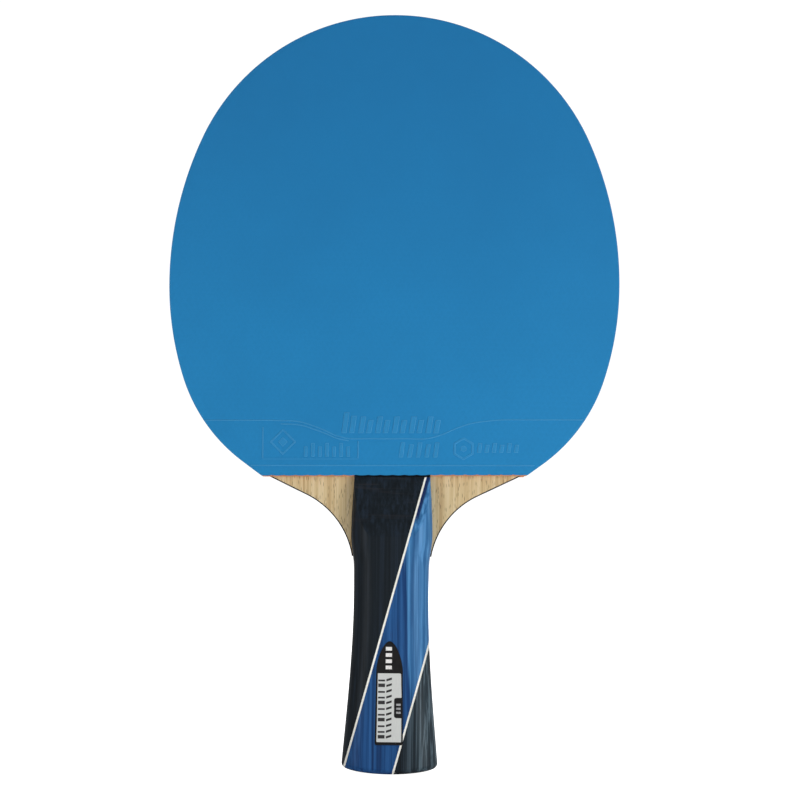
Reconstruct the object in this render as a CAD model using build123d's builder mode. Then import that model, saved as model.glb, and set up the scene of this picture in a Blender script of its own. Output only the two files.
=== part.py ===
from build123d import *
from math import cos, radians, sin, sqrt, tan
import os

# A table tennis paddle: a laminated wooden blade that runs through the handle to the butt, an edge
# tape round the head, a rubber on each face (a sponge under a pimpled topsheet), two handle scales
# glued up from dark wood, blue wood and white veneer, and a name badge let into the front scale.
#
# Millimetres. The origin is the lowest point of the butt, in the middle of the blade's thickness.
# +Z runs up the handle to the tip of the head, -Y out of the front face, +X to its right.

os.makedirs("parts", exist_ok=True)

# ---- driving dimensions -------------------------------------------------------------------------

# The blade's outline: four tangent arcs each side, a straight shoulder and a concave neck.
handle_length = 100.5  # butt to the top end of the scales
head_height = 155.75  # scales' top end to the tip of the bare blade
head_width = 151.0  # bare blade at its widest
widest_above_handle = 65.0  # how far above the scales the head is widest
tip_turn = 24.6  # degrees above the widest point where the side arc meets the tip arc
lower_side_radius = 103.2
lower_side_turn = 17.9  # degrees of the lower side arc
shoulder_radius = 55.9
shoulder_turn = 64.2  # the straight shoulder's angle from the handle's axis, degrees
neck_radius = 28.6
neck_width = 25.4  # the handle at its narrowest
neck_straight = 8.0  # straight length of the neck below its concave arc
butt_width = 32.8
butt_flare = 4.8  # degrees the handle's side leans outwards at the butt
butt_crown_radius = 67.0  # the butt is crowned across its width
butt_edge_radius = 2.0

# The blade's seven layers, from the middle out.
core_thickness = 3.5
carbon_thickness = 0.25
inner_ply_thickness = 0.5
outer_ply_thickness = 0.5

# The edge tape, as wide as the blade is thick.
tape_thickness = 0.4
tape_end_height = 73.5  # where it stops on the neck

# The rubbers.
rubber_overhang = 0.75  # past the bare blade's edge
rubber_edge_turn = 53.7  # degrees from the handle's axis of the straight cut at each lower corner
rubber_gap = 0.05  # sponge to the nearest corner of the scales' top end
front_rubber_skew = 0.7  # degrees the front rubber's hand-cut lower edge climbs to the right
sponge_reveal = 0.35  # how far the sponge shows below the topsheet
sponge_thickness = 2.1
topsheet_thickness = 1.8  # sheet and pimples together

# The handle scales.
scale_height = 8.6  # above the blade's face
scale_round_over = 7.0  # radius along both long edges
scale_swell = 1.1  # how far each side swells past the neck, on the blade's face
scale_swell_rise = 12.3  # how far above the neck arc's foot the swell is widest
scale_top_swell = 0.2  # what is left of the swell at the top end
scale_top_lean = 2.7  # degrees each side leans in at the top end
ramp_angle = 18.0  # degrees, the finger ramp at the top of a scale
ramp_end_height = 2.6  # scale height left at its top end
ramp_ease_radius = 30.0  # rounds the ramp's foot into the scale's outer face
ramp_ease_lean = 3.0  # degrees, so that the easing runs out through the face and not along it

# The oblique joints in the scales, the same seen from either side.
seam_angle = 15.2  # degrees from the handle's axis
seam_crossing = 59.0  # height where the upper strip crosses the middle of the handle
seam_spacing = 16.5  # between the two strips' middles, square to them
strip_thickness = 0.65

# The badge and its pocket.
badge_offset = -0.3  # sideways from the middle
badge_bottom = 10.1
badge_height = 35.0
badge_head_height = 10.7  # the pointed head above the silver panel
badge_bottom_width = 9.4
badge_top_width = 8.9  # where the head starts
badge_head_upright = 4.8  # how far up the head its sides stay nearly upright
badge_tip_half = 2.0  # half the width of the rounded tip
badge_corner_radius = 0.6
badge_thickness = 0.7
badge_proud = 0.15
badge_clearance = 0.08  # all round in the pocket
badge_rim = 0.45
badge_foot_rim = 0.9
foil_thickness = 0.2
tag_width = 2.5  # a black tab that the silver panel is cut round
tag_height = 6.7
tag_bottom = 9.2  # above the badge's bottom edge

# ---- sizes that follow --------------------------------------------------------------------------

blade_half = core_thickness / 2 + carbon_thickness + inner_ply_thickness + outer_ply_thickness
blade_top = handle_length + head_height
widest_height = handle_length + widest_above_handle
half_head = head_width / 2
half_neck = neck_width / 2
half_butt = butt_width / 2

# The arcs that meet at tip_turn and are level at the tip and upright at the widest point.
rise = blade_top - widest_height
radius_gap = (rise - half_head) / (cos(radians(tip_turn)) + sin(radians(tip_turn)) - 1)
side_radius = half_head + radius_gap * cos(radians(tip_turn))
tip_radius = rise - radius_gap * sin(radians(tip_turn))


def polar(radius, angle):
    """A step of the given length at an angle from +X, in degrees."""
    return Vector(radius * cos(radians(angle)), radius * sin(radians(angle)))


tip_centre = Vector(0, blade_top - tip_radius)
side_centre = Vector(half_head - side_radius, widest_height)
lower_side_centre = Vector(half_head - lower_side_radius, widest_height)
shoulder_centre = lower_side_centre + polar(lower_side_radius - shoulder_radius, -lower_side_turn)

# The shoulder's straight line leaves the shoulder arc and runs down to the neck arc.
shoulder_foot = shoulder_centre + polar(shoulder_radius, -shoulder_turn)
neck_arc_x = half_neck + neck_radius
neck_arc_top_x = neck_arc_x - neck_radius * cos(radians(shoulder_turn))
shoulder_run = (shoulder_foot.X - neck_arc_top_x) / sin(radians(shoulder_turn))
neck_arc_top_z = shoulder_foot.Y - shoulder_run * cos(radians(shoulder_turn))
neck_height = neck_arc_top_z - neck_radius * sin(radians(shoulder_turn))
neck_centre = Vector(neck_arc_x, neck_height)

butt_corner_height = butt_crown_radius - sqrt(butt_crown_radius**2 - half_butt**2)
skew_drop = (half_neck + scale_top_swell) * tan(radians(front_rubber_skew))
sponge_edge = handle_length + rubber_gap + skew_drop
topsheet_edge = sponge_edge + sponge_reveal
badge_tip = badge_bottom + badge_height
badge_shoulder = badge_tip - badge_head_height

# ---- outlines, drawn in the blade's plane -------------------------------------------------------


def handle_side():
    """The right side of the handle, from the neck arc's foot down to the butt's corner."""
    Line((half_neck, neck_height), (half_neck, neck_height - neck_straight))
    Spline(
        (half_neck, neck_height - neck_straight),
        (half_butt, butt_corner_height),
        tangents=((0, -1), polar(1, butt_flare - 90)),
    )


def butt_end():
    """The crowned lower end, across the whole width."""
    ThreePointArc((-half_butt, butt_corner_height), (0, 0), (half_butt, butt_corner_height))


def head_sides(margin):
    """The right side of the head, set out by margin, from the tip arc to the shoulder arc."""
    CenterArc(side_centre, side_radius + margin, 0, tip_turn)
    CenterArc(lower_side_centre, lower_side_radius + margin, -lower_side_turn, lower_side_turn)


def shoulder_arc(margin, end_turn):
    """The shoulder arc, set out by margin, down to where it leans end_turn from the handle's axis."""
    CenterArc(shoulder_centre, shoulder_radius + margin, -end_turn, end_turn - lower_side_turn)


def tip_arc(margin):
    """The arc over the tip, from side to side."""
    CenterArc(tip_centre, tip_radius + margin, tip_turn, 180 - 2 * tip_turn)


def blade_face():
    """The blade with its tang, corners rounded at the butt."""
    with BuildSketch() as face:
        with BuildLine():
            head_sides(0)
            shoulder_arc(0, shoulder_turn)
            Line(shoulder_foot, neck_centre + polar(neck_radius, 180 - shoulder_turn))
            CenterArc(neck_centre, neck_radius, 180 - shoulder_turn, shoulder_turn)
            handle_side()
            mirror(about=Plane.YZ)
            tip_arc(0)
            butt_end()
        make_face()
        fillet(face.vertices().group_by(Axis.Y)[0], butt_edge_radius)
    return face.sketch


def taped_face():
    """The head and neck with the tape's thickness added, down to the neck arc's foot."""
    margin = tape_thickness
    with BuildSketch() as face:
        with BuildLine():
            head_sides(margin)
            shoulder_arc(margin, shoulder_turn)
            Line(
                shoulder_centre + polar(shoulder_radius + margin, -shoulder_turn),
                neck_centre + polar(neck_radius - margin, 180 - shoulder_turn),
            )
            CenterArc(neck_centre, neck_radius - margin, 180 - shoulder_turn, shoulder_turn)
            mirror(about=Plane.YZ)
            tip_arc(margin)
            Line((-half_neck - margin, neck_height), (half_neck + margin, neck_height))
        make_face()
    return face.sketch


def rubber_face(edge_height, skew):
    """A rubber's outline, its straight lower edge at edge_height in the middle and turned by skew."""
    corner_arc_foot = shoulder_centre + polar(shoulder_radius + rubber_overhang, -rubber_edge_turn)
    lowest = edge_height - half_head * sin(radians(skew))
    cut_length = (corner_arc_foot.Y - lowest) / cos(radians(rubber_edge_turn))
    corner = corner_arc_foot + polar(cut_length, -90 - rubber_edge_turn)
    with BuildSketch() as face:
        with BuildLine():
            head_sides(rubber_overhang)
            shoulder_arc(rubber_overhang, rubber_edge_turn)
            Line(corner_arc_foot, corner)
            mirror(about=Plane.YZ)
            tip_arc(rubber_overhang)
            Line((-corner.X, corner.Y), (corner.X, corner.Y))
        make_face()
        if skew:
            with Locations(Location((0, edge_height, 0), (0, 0, skew))):
                Rectangle(
                    2 * head_width,
                    half_head,
                    align=(Align.CENTER, Align.MAX),
                    mode=Mode.SUBTRACT,
                )
    return face.sketch


def scale_face():
    """A handle scale's footprint on the blade, before its edges are rounded."""
    swell = (half_neck + scale_swell, neck_height + scale_swell_rise)
    top = (half_neck + scale_top_swell, handle_length)
    with BuildSketch() as face:
        with BuildLine():
            Line((-top[0], top[1]), top)
            Spline(top, swell, tangents=(polar(1, scale_top_lean - 90), (0, -1)))
            Spline(swell, (half_neck, neck_height), tangents=((0, -1), (0, -1)))
            handle_side()
            mirror(about=Plane.YZ)
            butt_end()
        make_face()
    return face.sketch


blade_outline = blade_face()
scale_outline = scale_face()

# ---- the blade ----------------------------------------------------------------------------------


def write(piece, name):
    """Label a finished piece and write its STEP file."""
    piece.label = name
    export_step(piece, f"parts/{name}.step")


def flat_layer(outline, inner, thickness, front):
    """A layer of the sandwich: an outline laid at a distance from the mid-plane, on one side."""
    plane = Plane.XZ.offset(inner if front else -inner)
    with BuildPart() as layer:
        with BuildSketch(plane):
            add(outline)
        extrude(amount=thickness if front else -thickness)
    return layer.part


with BuildPart() as blade_core:
    with BuildSketch(Plane.XZ):
        add(blade_outline)
    extrude(amount=core_thickness / 2, both=True)
write(blade_core.part, "blade_core")

for side in ("front", "rear"):
    inner = core_thickness / 2
    for layer_name, thickness in (
        ("carbon_ply", carbon_thickness),
        ("inner_ply", inner_ply_thickness),
        ("outer_ply", outer_ply_thickness),
    ):
        write(flat_layer(blade_outline, inner, thickness, side == "front"), f"{side}_{layer_name}")
        inner += thickness

with BuildPart() as edge_tape:
    with BuildSketch(Plane.XZ):
        add(taped_face())
        add(blade_outline, mode=Mode.SUBTRACT)
        with Locations((0, tape_end_height)):
            Rectangle(head_width, handle_length, align=(Align.CENTER, Align.MAX), mode=Mode.SUBTRACT)
    extrude(amount=blade_half, both=True)
write(edge_tape.part, "edge_tape")

# ---- the rubbers --------------------------------------------------------------------------------

topsheet_base = blade_half + sponge_thickness
for side, skew in (("front", front_rubber_skew), ("rear", 0)):
    front = side == "front"
    sponge = flat_layer(rubber_face(sponge_edge, skew), blade_half, sponge_thickness, front)
    write(sponge, f"{side}_sponge")
    topsheet_outline = rubber_face(topsheet_edge, skew)
    topsheet = flat_layer(topsheet_outline, topsheet_base, topsheet_thickness, front)
    write(topsheet, f"{side}_topsheet")

# ---- the badge's place --------------------------------------------------------------------------


def badge_face(margin):
    """The badge's outline set out by margin: a straight-sided body with a bullet-shaped head."""
    half_bottom = badge_bottom_width / 2 + margin
    half_top = badge_top_width / 2 + margin
    bottom = badge_bottom - margin
    tip = badge_tip + margin
    with BuildSketch() as face:
        with BuildLine():
            Line((half_bottom, bottom), (half_top, badge_shoulder))
            Bezier(
                (half_top, badge_shoulder),
                (half_top, badge_shoulder + badge_head_upright),
                (badge_tip_half + margin, tip),
                (0, tip),
            )
            mirror(about=Plane.YZ)
            Line((-half_bottom, bottom), (half_bottom, bottom))
        make_face()
        fillet(face.vertices().group_by(Axis.Y)[0], badge_corner_radius + margin)
    return Pos(badge_offset, 0) * face.sketch


def panel_face():
    """The silver panel: the badge's body inside its rim, notched on the right for the black tab."""
    notch_left = badge_offset + badge_bottom_width / 2 - badge_rim - tag_width
    with BuildSketch() as face:
        add(badge_face(-badge_rim))
        with Locations((badge_offset, badge_bottom + badge_foot_rim)):
            Rectangle(
                badge_bottom_width,
                badge_shoulder - badge_bottom - badge_foot_rim,
                align=(Align.CENTER, Align.MIN),
                mode=Mode.INTERSECT,
            )
        with Locations((notch_left, badge_bottom + tag_bottom)):
            Rectangle(
                badge_bottom_width,
                tag_height,
                align=(Align.MIN, Align.MIN),
                mode=Mode.SUBTRACT,
            )
    return face.sketch


scale_surface = blade_half + scale_height
badge_floor = Plane.XZ.offset(scale_surface + badge_proud - badge_thickness)
with BuildPart() as badge_pocket:
    with BuildSketch(badge_floor):
        add(badge_face(badge_clearance))
    extrude(amount=2 * badge_thickness)

# ---- the handle scales --------------------------------------------------------------------------

seam_normal = Vector(cos(radians(seam_angle)), 0, -sin(radians(seam_angle)))
upper_seam = Plane(origin=(0, 0, seam_crossing), z_dir=seam_normal)
lower_seam = upper_seam.offset(seam_spacing)

# What the ramp cuts away, drawn from the side: sideways is out from the blade, upwards is up.
ramp_top = (-(blade_half + ramp_end_height), handle_length)
ramp_run = (scale_height - ramp_end_height) / tan(radians(ramp_angle))
ramp_foot = (-scale_surface, handle_length - ramp_run)
ease_end = (
    -scale_surface - ramp_run * sin(radians(ramp_ease_lean)),
    ramp_foot[1] - ramp_run * cos(radians(ramp_ease_lean)),
)
with BuildPart() as ramp_waste:
    with BuildSketch(Plane.YZ):
        with BuildLine():
            Polyline(
                ramp_top,
                ramp_foot,
                ease_end,
                (-2 * scale_surface, ease_end[1]),
                (-2 * scale_surface, handle_length + scale_height),
                (ramp_top[0], handle_length + scale_height),
                close=True,
            )
        foot_corner = make_face().vertices().sort_by_distance(ramp_foot)[0]
        fillet(foot_corner, ramp_ease_radius)
    extrude(amount=butt_width, both=True)

with BuildPart() as front_blank:
    with BuildSketch(Plane.XZ.offset(blade_half)):
        add(scale_outline)
    extrude(amount=scale_height)
    outer_face = front_blank.faces().sort_by(Axis.Y)[0]
    long_edges = outer_face.edges().filter_by(lambda edge: abs(edge.center().X) > half_neck / 2)
    fillet(long_edges, scale_round_over)
    butt_face = front_blank.faces().sort_by(Axis.Z)[0]
    fillet(butt_face.edges().sort_by(Axis.Y)[:-1], butt_edge_radius)
    add(ramp_waste.part, mode=Mode.SUBTRACT)

with BuildPart() as front_scale:
    add(front_blank.part)
    add(badge_pocket.part, mode=Mode.SUBTRACT)

# Left to right across a scale: each piece's name and the planes it lies between.
scale_pieces = (
    ("grip_dark_upper", None, upper_seam.offset(-strip_thickness / 2)),
    (
        "grip_strip_upper",
        upper_seam.offset(-strip_thickness / 2),
        upper_seam.offset(strip_thickness / 2),
    ),
    (
        "grip_blue_centre",
        upper_seam.offset(strip_thickness / 2),
        lower_seam.offset(-strip_thickness / 2),
    ),
    (
        "grip_strip_lower",
        lower_seam.offset(-strip_thickness / 2),
        lower_seam.offset(strip_thickness / 2),
    ),
    ("grip_dark_lower", lower_seam.offset(strip_thickness / 2), None),
)


def scale_piece(scale, left_plane, right_plane):
    """The part of a front scale that lies between two planes."""
    with BuildPart() as piece:
        add(scale)
        if left_plane:
            split(bisect_by=left_plane, keep=Keep.TOP)
        if right_plane:
            split(bisect_by=right_plane, keep=Keep.BOTTOM)
    return piece.part


for piece_name, left_plane, right_plane in scale_pieces:
    write(scale_piece(front_scale.part, left_plane, right_plane), f"front_{piece_name}")
    rear_piece = scale_piece(front_blank.part, left_plane, right_plane)
    write(rear_piece.rotate(Axis.Z, 180), f"rear_{piece_name}")

# ---- the badge ----------------------------------------------------------------------------------

foil_bed = Plane.XZ.offset(scale_surface + badge_proud - foil_thickness)
with BuildPart() as badge_plate:
    with BuildSketch(badge_floor):
        add(badge_face(0))
    extrude(amount=badge_thickness)
    with BuildSketch(foil_bed):
        add(panel_face())
    extrude(amount=2 * foil_thickness, mode=Mode.SUBTRACT)
write(badge_plate.part, "badge_plate")

with BuildPart() as badge_panel:
    with BuildSketch(foil_bed):
        add(panel_face())
    extrude(amount=foil_thickness)
write(badge_panel.part, "badge_panel")
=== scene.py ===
from math import atan2, cos, degrees, hypot, pi, radians, sin, tan

import bpy
import numpy as np
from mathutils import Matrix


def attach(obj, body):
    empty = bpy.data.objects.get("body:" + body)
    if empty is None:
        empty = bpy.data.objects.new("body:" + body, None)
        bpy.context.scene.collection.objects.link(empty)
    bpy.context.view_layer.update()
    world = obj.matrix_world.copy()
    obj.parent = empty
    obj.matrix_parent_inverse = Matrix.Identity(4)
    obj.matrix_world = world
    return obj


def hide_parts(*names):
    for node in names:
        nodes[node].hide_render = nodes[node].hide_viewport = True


# A table tennis paddle, standing on its butt: a laminated blade, an edge tape, a rubber on each
# face and two handle scales with a badge. Lengths are in metres unless a comment says otherwise.

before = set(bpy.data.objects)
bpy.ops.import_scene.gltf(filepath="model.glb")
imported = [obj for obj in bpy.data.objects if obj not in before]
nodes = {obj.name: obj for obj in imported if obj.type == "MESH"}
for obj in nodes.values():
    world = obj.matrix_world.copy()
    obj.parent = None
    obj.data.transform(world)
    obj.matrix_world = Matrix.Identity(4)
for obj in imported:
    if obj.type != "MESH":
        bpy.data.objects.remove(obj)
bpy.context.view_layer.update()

# ---- the blade ----------------------------------------------------------------------------------
# Seven layers pressed flat and sawn to shape: a light core, a carbon weave each side of it, a
# spruce-like inner ply and a pale open-pored outer ply. The outer ply shows bare on the neck.


def add_node(tree, kind, inputs=None, **settings):
    """A shader node, with its settings and its inputs given by socket name or number."""
    node = tree.nodes.new(kind)
    for name, value in settings.items():
        setattr(node, name, value)
    for name, value in (inputs or {}).items():
        if isinstance(value, bpy.types.NodeSocket):
            tree.links.new(value, node.inputs[name])
        else:
            node.inputs[name].default_value = value
    return node


def add_group(name, inputs, outputs):
    """A shader node group: its tree, the node that gives its inputs and the one for its outputs."""
    group = bpy.data.node_groups.new(name, "ShaderNodeTree")
    for socket, value in inputs.items():
        made = group.interface.new_socket(socket, in_out="INPUT", socket_type="NodeSocketFloat")
        made.default_value = value
    for socket in outputs:
        group.interface.new_socket(socket, in_out="OUTPUT", socket_type="NodeSocketFloat")
    return group, group.nodes.new("NodeGroupInput"), group.nodes.new("NodeGroupOutput")


def calculate(tree, operation, a, b=0.0):
    """One sum on two values."""
    return add_node(tree, "ShaderNodeMath", {0: a, 1: b}, operation=operation).outputs[0]


def calculate_vector(tree, operation, a, b):
    """One sum on two vectors."""
    return add_node(tree, "ShaderNodeVectorMath", {0: a, 1: b}, operation=operation).outputs[0]


def position(tree):
    """Where a spot is on the paddle, in metres."""
    return add_node(tree, "ShaderNodeTexCoord").outputs["Object"]


def scaled(tree, place, scale):
    """A place stretched by its own scale on each axis."""
    return add_node(tree, "ShaderNodeMapping", {"Vector": place, "Scale": scale}).outputs[0]


def noise(tree, place, scale, detail=2.0, roughness=0.5):
    """A cloudy value about a half, with scale lumps to a metre."""
    sockets = {"Vector": place, "Scale": scale, "Detail": detail, "Roughness": roughness}
    return add_node(tree, "ShaderNodeTexNoise", sockets).outputs["Fac"]


def remap(tree, value, start, end, to_start=0.0, to_end=1.0):
    """A value carried smoothly from one range to another."""
    sockets = {"Value": value, "From Min": start, "From Max": end}
    sockets.update({"To Min": to_start, "To Max": to_end})
    return add_node(tree, "ShaderNodeMapRange", sockets, interpolation_type="SMOOTHSTEP").outputs[0]


def colour(red, green, blue):
    """A colour given as it looks on a screen, from 0 to 255."""
    values = [value / 255 for value in (red, green, blue)]
    return [v / 12.92 if v <= 0.04045 else ((v + 0.055) / 1.055) ** 2.4 for v in values] + [1.0]


def blend(tree, amount, a, b):
    """Two colours mixed by an amount."""
    sockets = {0: amount, 6: a, 7: b}
    return add_node(tree, "ShaderNodeMix", sockets, data_type="RGBA").outputs[2]


def shades(tree, value, stops):
    """A colour read off a scale of (place, colour) stops."""
    ramp = add_node(tree, "ShaderNodeValToRGB", {0: value})
    scale = ramp.color_ramp.elements
    while len(scale) < len(stops):
        scale.new(0.5)
    for stop, (place, shade) in zip(scale, stops):
        stop.position = place
        stop.color = shade
    return ramp.outputs[0]


# Wood grain that runs up the paddle, for every wooden piece. Lines is how many grain lines there
# are to a metre, Length how much longer than wide they are.
grain, given, result = add_group(
    "wood grain",
    {"Lines": 1000.0, "Length": 40.0, "Wander": 0.0006, "Pores": 0.3, "Seed": 0.0},
    ("Streak", "Fibre", "Pore", "Height"),
)
seed_step = add_node(grain, "ShaderNodeCombineXYZ", {"Z": given.outputs["Seed"]}).outputs[0]
seeded = calculate_vector(grain, "ADD", position(grain), seed_step)
sway = calculate(grain, "SUBTRACT", noise(grain, seeded, 28.0), 0.5)
sway = calculate(grain, "MULTIPLY", sway, given.outputs["Wander"])
sway_step = add_node(grain, "ShaderNodeCombineXYZ", {"X": sway, "Y": sway}).outputs[0]
swayed = calculate_vector(grain, "ADD", seeded, sway_step)
lines = given.outputs["Lines"]
along = calculate(grain, "DIVIDE", lines, given.outputs["Length"])
stretch = add_node(grain, "ShaderNodeCombineXYZ", {"X": lines, "Y": lines, "Z": along}).outputs[0]
drawn_out = calculate_vector(grain, "MULTIPLY", swayed, stretch)
streak = noise(grain, drawn_out, 0.6, detail=4.0, roughness=0.65)
fibre = noise(grain, drawn_out, 4.0)
shorter = scaled(grain, drawn_out, (1.0, 1.0, 5.0))
cells = add_node(grain, "ShaderNodeTexVoronoi", {"Vector": shorter, "Scale": 2.1})
pore_shape = remap(grain, cells.outputs["Distance"], 0.12, 0.3, 1.0, 0.0)
chosen = calculate(grain, "LESS_THAN", cells.outputs["Color"], given.outputs["Pores"])
pore = calculate(grain, "MULTIPLY", pore_shape, chosen)
height = calculate(grain, "SUBTRACT", calculate(grain, "MULTIPLY", fibre, 0.6), pore)
for socket, value in (("Streak", streak), ("Fibre", fibre), ("Pore", pore), ("Height", height)):
    grain.links.new(value, result.inputs[socket])


def new_material(name, **sockets):
    """A material with one Principled shader, and its plain values set on that shader."""
    material = bpy.data.materials.new(name)
    material.use_nodes = True
    shader = material.node_tree.nodes["Principled BSDF"]
    for socket, value in sockets.items():
        shader.inputs[socket.replace("_", " ")].default_value = value
    return material, material.node_tree, shader


def add_bump(tree, shader, height, distance):
    """Fine relief on a shader, distance high."""
    bump = add_node(tree, "ShaderNodeBump", {"Height": height, "Distance": distance})
    tree.links.new(bump.outputs["Normal"], shader.inputs["Normal"])


def wood(name, dark, middle, light, pore_shade, lines, length, pores, seed, roughness, relief):
    """A bare wood: its three grain shades, its pore shade and how coarse it is."""
    material, tree, shader = new_material(name, Specular_IOR_Level=0.3)
    sockets = {"Lines": lines, "Length": length, "Pores": pores, "Seed": seed}
    figure = add_node(tree, "ShaderNodeGroup", node_tree=grain)
    for socket, value in sockets.items():
        figure.inputs[socket].default_value = value
    body = shades(tree, figure.outputs["Streak"], ((0.34, dark), (0.5, middle), (0.64, light)))
    fine = calculate(tree, "MULTIPLY", figure.outputs["Fibre"], 0.35)
    body = blend(tree, fine, body, dark)
    body = blend(tree, calculate(tree, "MULTIPLY", figure.outputs["Pore"], 0.75), body, pore_shade)
    tree.links.new(body, shader.inputs["Base Color"])
    finish = remap(tree, figure.outputs["Streak"], 0.3, 0.7, roughness + 0.08, roughness - 0.05)
    tree.links.new(finish, shader.inputs["Roughness"])
    add_bump(tree, shader, figure.outputs["Height"], relief)
    return material, tree, shader, figure, body


def give(material, *names):
    """The material on CAD pieces that keep their own shape."""
    for name in names:
        for material_slot in nodes[name].material_slots:
            material_slot.material = material


outer_wood = wood(
    "pale open-pored wood",
    dark=colour(188, 156, 110),
    middle=colour(220, 198, 152),
    light=colour(232, 213, 173),
    pore_shade=colour(84, 54, 30),
    lines=1400.0,
    length=50.0,
    pores=0.5,
    seed=3.0,
    roughness=0.62,
    relief=0.00006,
)[0]
give(outer_wood, "front_outer_ply", "rear_outer_ply")

inner_wood = wood(
    "straight-grained inner ply",
    dark=colour(188, 152, 104),
    middle=colour(214, 184, 138),
    light=colour(226, 204, 164),
    pore_shade=colour(150, 112, 72),
    lines=1400.0,
    length=60.0,
    pores=0.15,
    seed=11.0,
    roughness=0.65,
    relief=0.00004,
)[0]
give(inner_wood, "front_inner_ply", "rear_inner_ply")

core_wood = wood(
    "light core wood",
    dark=colour(198, 172, 128),
    middle=colour(219, 199, 160),
    light=colour(232, 216, 182),
    pore_shade=colour(164, 132, 90),
    lines=700.0,
    length=30.0,
    pores=0.4,
    seed=23.0,
    roughness=0.7,
    relief=0.00008,
)[0]
give(core_wood, "blade_core")

carbon_weave, tree, shader = new_material("carbon weave", Roughness=0.42)
tow_width = 0.002
slant = (0.0, radians(45), 0.0)
slanted = add_node(tree, "ShaderNodeMapping", {"Vector": position(tree), "Rotation": slant})
squares = {"Vector": slanted.outputs[0], "Scale": 1 / tow_width}
tows = add_node(tree, "ShaderNodeTexChecker", squares)
tows.inputs["Color1"].default_value = colour(30, 31, 33)
tows.inputs["Color2"].default_value = colour(52, 54, 57)
tree.links.new(tows.outputs["Color"], shader.inputs["Base Color"])
add_bump(tree, shader, tows.outputs["Fac"], 0.00003)
give(carbon_weave, "front_carbon_ply", "rear_carbon_ply")

# ---- the edge tape ------------------------------------------------------------------------------
# A black woven tape, stuck round the blade's edge from one side of the neck over the tip to the
# other, with a thicker hem along both of its edges.

MM = 0.001
blade_half = 3.0 * MM
widest_height = 165.5 * MM
half_head = 75.5 * MM
blade_top = 256.25 * MM
tip_turn = 24.6
lower_side_radius = 103.2 * MM
lower_side_turn = 17.9
shoulder_radius = 55.9 * MM
shoulder_turn = 64.2
neck_radius = 28.6 * MM
half_neck = 12.7 * MM
tape_end_height = 73.5 * MM
tape_thickness = 0.4 * MM
hem_width = 0.5 * MM
hem_rise = 0.06 * MM
hem_slope = 0.1 * MM
point_gap = 0.7 * MM
crease_angle = 40.0
warp_scale = 700.0
weft_scale = 900.0

# The same arcs as the blade's, with their centres: each pair is (sideways, up).
rise = blade_top - widest_height
turn = radians(tip_turn)
radius_gap = (rise - half_head) / (cos(turn) + sin(turn) - 1)
side_radius = half_head + radius_gap * cos(turn)
tip_radius = rise - radius_gap * sin(turn)
tip_centre = np.array((0.0, blade_top - tip_radius))
side_centre = np.array((half_head - side_radius, widest_height))
lower_side_centre = np.array((half_head - lower_side_radius, widest_height))


def polar(radius, angle):
    """A step of the given length at an angle from sideways, in degrees."""
    return radius * np.array((cos(radians(angle)), sin(radians(angle))))


shoulder_centre = lower_side_centre + polar(lower_side_radius - shoulder_radius, -lower_side_turn)
shoulder_foot = shoulder_centre + polar(shoulder_radius, -shoulder_turn)
neck_top_x = half_neck + neck_radius - neck_radius * cos(radians(shoulder_turn))
shoulder_run = (shoulder_foot[0] - neck_top_x) / sin(radians(shoulder_turn))
neck_top_z = shoulder_foot[1] - shoulder_run * cos(radians(shoulder_turn))
neck_height = neck_top_z - neck_radius * sin(radians(shoulder_turn))
neck_centre = np.array((half_neck + neck_radius, neck_height))


def arc(centre, radius, start, end):
    """Points along an arc, its angles in degrees, without the last one."""
    count = max(2, round(abs(radians(end - start)) * radius / point_gap))
    turns = np.radians(np.linspace(start, end, count, endpoint=False))
    return centre + radius * np.column_stack((np.cos(turns), np.sin(turns)))


def straight(start, end, gap=point_gap):
    """Points along a straight line, without the last one."""
    count = max(1, round(float(np.linalg.norm(end - start)) / gap))
    return start + np.linspace(0, 1, count, endpoint=False)[:, None] * (end - start)


def head_side(margin):
    """The head's right side from the tip down to the shoulder arc, set out by margin."""
    return [
        arc(tip_centre, tip_radius + margin, 90, tip_turn),
        arc(side_centre, side_radius + margin, tip_turn, 0),
        arc(lower_side_centre, lower_side_radius + margin, 0, -lower_side_turn),
    ]


def both_sides(right):
    """A right side that starts at the tip, with the left side put before it."""
    left = right[:0:-1] * (-1, 1)
    return np.vstack((left, right))


def normals(points, closed):
    """The outward direction at each point of a line that runs clockwise, mitred at corners."""
    if closed:
        before, after = np.roll(points, 1, 0), np.roll(points, -1, 0)
    else:
        before = np.vstack((points[:1], points[:-1]))
        after = np.vstack((points[1:], points[-1:]))
    out = np.zeros_like(points)
    for step in (points - before, after - points):
        length = np.linalg.norm(step, axis=1, keepdims=True)
        length[length == 0] = 1
        out += np.column_stack((-step[:, 1], step[:, 0])) / length
    size = np.linalg.norm(out, axis=1, keepdims=True)
    sharpest = 1.2
    mitre = 2 / np.maximum(size, sharpest) if closed else 1.0
    return out / size * mitre


def new_piece(name, points, faces, material, replaced):
    """A mesh piece that rides on the paddle and stands for CAD pieces."""
    mesh = bpy.data.meshes.new(name)
    mesh.from_pydata([tuple(map(float, point)) for point in points], [], faces)
    mesh.validate()
    mesh.shade_smooth()
    mesh.set_sharp_from_angle(angle=radians(crease_angle))
    mesh.materials.append(material)
    piece = bpy.data.objects.new(name, mesh)
    bpy.context.scene.collection.objects.link(piece)
    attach(piece, "root")
    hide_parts(*replaced)
    return piece


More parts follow.
